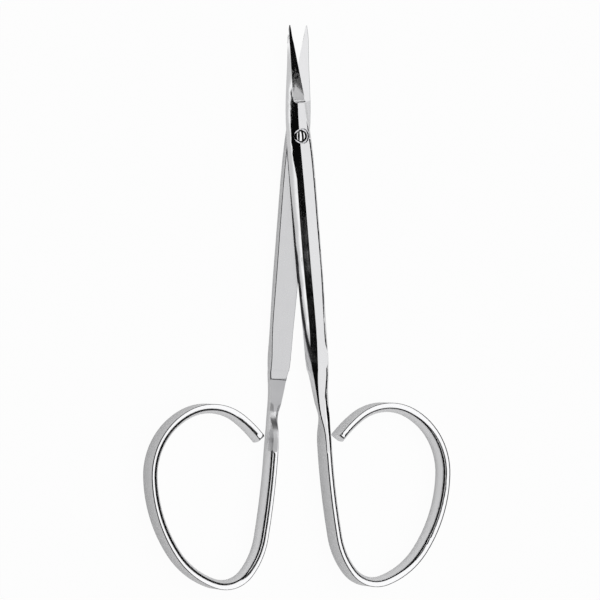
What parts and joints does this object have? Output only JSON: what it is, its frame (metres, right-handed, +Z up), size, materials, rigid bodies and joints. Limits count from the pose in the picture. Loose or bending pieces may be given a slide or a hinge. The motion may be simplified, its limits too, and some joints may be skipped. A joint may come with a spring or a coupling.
{
  "type": "iris scissors",
  "caption": "Small surgical scissors with straight pointed blades, facetted shanks, a slotted pivot screw and finger rings bent from flat ribbon.",
  "frame": {"origin": "centre of the bounding box, at its underside: the scissors lie on the rear half's outer flat and the rings' edges", "axes": "+Y along the scissors towards the tips, +X to the front half's ring, +Z up along the pivot from the rear half to the front half"},
  "size_m": [0.0606, 0.106, 0.0049],
  "materials": {
    "front_steel": "polished flanks and ribbon, satin flats",
    "rear_steel": "polished flanks and ribbon, satin flats",
    "screw_steel": "polished"
  },
  "bodies": {
    "rear": {"rear_half": "rear_steel", "pivot_screw": "screw_steel"},
    "front": {"front_half": "front_steel"}
  },
  "joints": [
    {"name": "blade_pivot", "type": "hinge", "parent": "rear", "child": "front", "pos_m": [0, 0.03205, 0.00245], "axis": [0, 0, 1], "range_deg": [-8.6, 51.4]}
  ]
}
